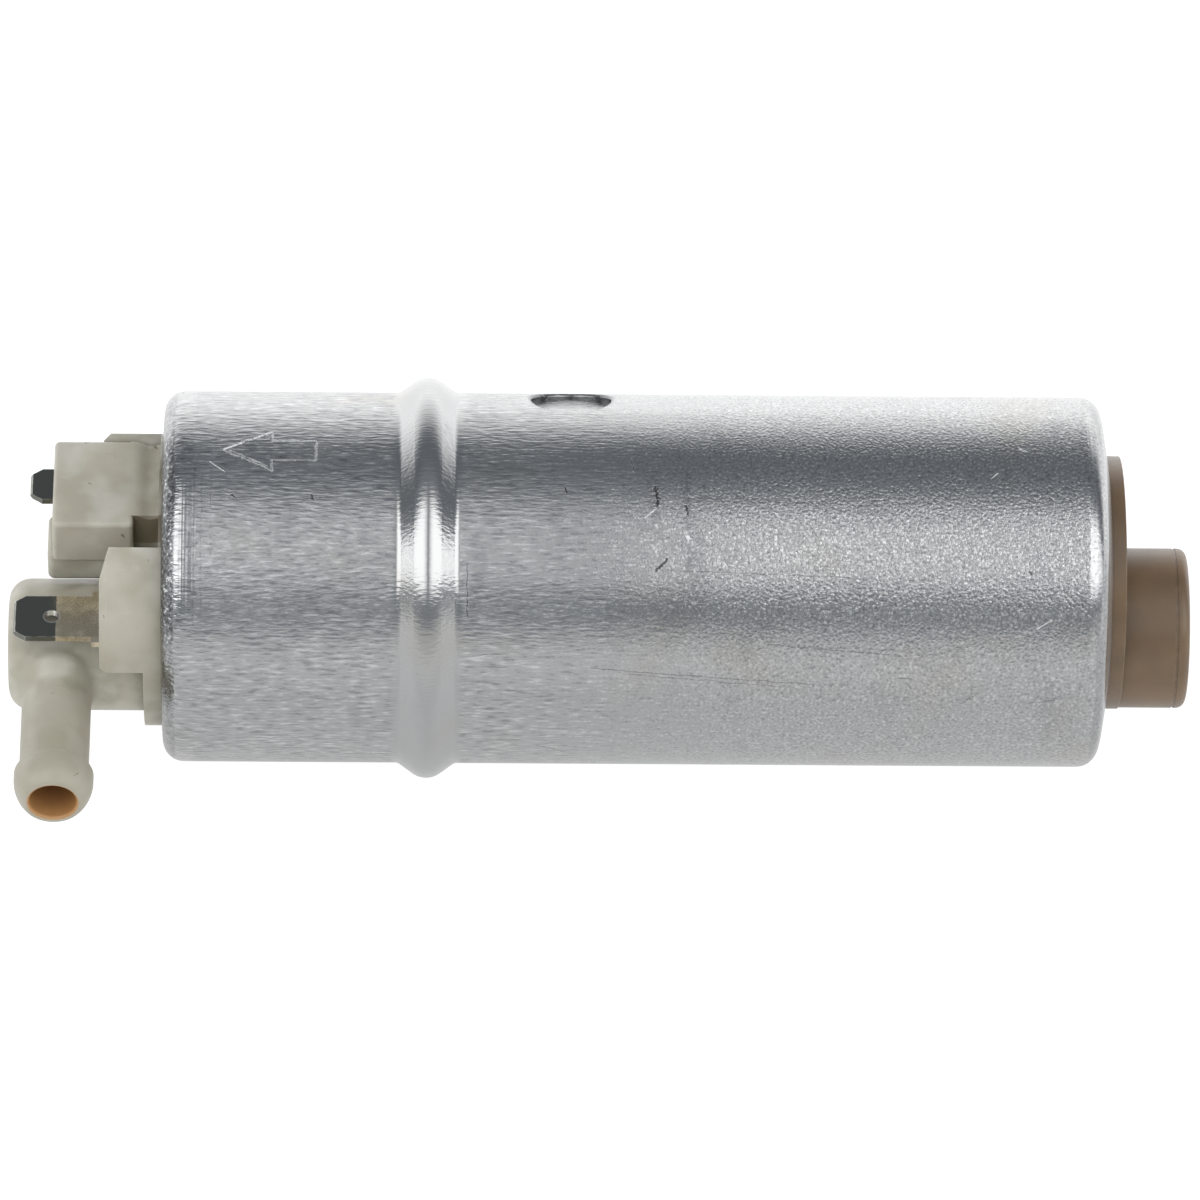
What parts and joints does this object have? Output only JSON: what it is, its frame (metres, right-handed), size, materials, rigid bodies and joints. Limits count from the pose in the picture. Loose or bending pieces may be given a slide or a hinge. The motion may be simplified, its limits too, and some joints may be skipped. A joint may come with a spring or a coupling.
{
  "type": "electric fuel pump",
  "caption": "In-tank electric fuel pump: steel can with bead, plastic outlet cap with hose nipple and blade terminals, plastic inlet cover with offset suction spigot.",
  "frame": {"origin": "on the pump axis inside the plain clamping length of the can, about the middle of the overall length", "axes": "+X along the pump axis towards the inlet, the hose nipple points along -Y, the flat sides of the terminal blades face +Z"},
  "size_m": [0.1365, 0.0538, 0.0464],
  "materials": {
    "plated_steel": "bright zinc-plated sheet with fine grain",
    "cream_plastic": "satin natural moulding",
    "brown_plastic": "satin filled resin",
    "holder_plastic": "satin moulding",
    "tinned_brass": "dull tin plating",
    "rubber": "smooth fuel-proof rubber",
    "carbon": "pressed carbon",
    "spring_steel": "drawn wire",
    "copper": "enamelled copper wire",
    "ferrite": "ground ferrite",
    "sintered_bronze": "oil-filled sintered metal",
    "ground_steel": "ground steel",
    "electrical_sheet": "stacked electrical sheet",
    "insulation": "green insulating plastic",
    "commutator_resin": "moulded phenolic",
    "pump_aluminium": "anodised, ground faces",
    "sintered_steel": "sintered and ground",
    "valve_brass": "turned brass",
    "valve_plastic": "natural acetal"
  },
  "bodies": {
    "housing": {"can": "plated_steel", "outlet_cap": "cream_plastic", "cap_seal": "rubber", "terminal_positive": "tinned_brass", "terminal_negative": "tinned_brass", "check_valve_seat": "valve_brass", "check_valve_spring": "spring_steel", "relief_valve_seat": "valve_brass", "relief_valve_spring": "spring_steel", "relief_valve_stop": "valve_brass", "brush_holder": "holder_plastic", "brush_spring_positive": "spring_steel", "brush_spring_negative": "spring_steel", "brush_lead_positive": "copper", "brush_lead_negative": "copper", "choke_coil_positive": "copper", "choke_coil_negative": "copper", "choke_core_positive": "ferrite", "choke_core_negative": "ferrite", "upper_bearing": "sintered_bronze", "magnet_north": "ferrite", "magnet_south": "ferrite", "magnet_clips": "spring_steel", "lower_bearing": "sintered_bronze", "middle_plate": "pump_aluminium", "pump_ring": "pump_aluminium", "dowel_pins": "ground_steel", "inlet_cover": "brown_plastic", "inlet_seal": "rubber"},
    "armature": {"armature_shaft": "ground_steel", "lamination_stack": "electrical_sheet", "end_insulators": "insulation", "armature_winding": "copper", "commutator_hub": "commutator_resin", "commutator_segments": "carbon", "spacer_sleeve": "ground_steel", "thrust_washers": "valve_plastic", "inner_rotor": "sintered_steel"},
    "outer_rotor": {"outer_rotor": "sintered_steel"},
    "brush_positive": {"brush_positive": "carbon"},
    "brush_negative": {"brush_negative": "carbon"},
    "check_valve": {"check_valve_poppet": "valve_plastic", "check_valve_seal": "rubber"},
    "relief_valve": {"relief_valve_ball": "ground_steel"}
  },
  "joints": [
    {"name": "armature_spin", "type": "hinge", "parent": "housing", "child": "armature", "pos_m": [0, 0, 0], "axis": [1, 0, 0], "continuous": true},
    {"name": "outer_rotor_spin", "type": "hinge", "parent": "housing", "child": "outer_rotor", "pos_m": [0.047, -0.00066, 0.00088], "axis": [1, 0, 0], "continuous": true},
    {"name": "brush_positive_slide", "type": "slide", "parent": "housing", "child": "brush_positive", "axis": [-1, 0, 0], "range_m": [0, 0.0025], "stiffness_N_per_m": 150, "springref_m": -0.004, "deforming": ["brush_spring_positive", "brush_lead_positive"]},
    {"name": "brush_negative_slide", "type": "slide", "parent": "housing", "child": "brush_negative", "axis": [-1, 0, 0], "range_m": [0, 0.0025], "stiffness_N_per_m": 150, "springref_m": -0.004, "deforming": ["brush_spring_negative", "brush_lead_negative"]},
    {"name": "check_valve_slide", "type": "slide", "parent": "housing", "child": "check_valve", "axis": [-1, 0, 0], "range_m": [0, 0.0022], "stiffness_N_per_m": 120, "springref_m": -0.003, "deforming": ["check_valve_spring"]},
    {"name": "relief_valve_slide", "type": "slide", "parent": "housing", "child": "relief_valve", "axis": [-1, 0, 0], "range_m": [0, 0.001], "stiffness_N_per_m": 300, "springref_m": -0.002, "deforming": ["relief_valve_spring"]}
  ],
  "couplings": [
    {"joint": "outer_rotor_spin", "follows": "armature_spin", "ratio": 0.85714}
  ]
}
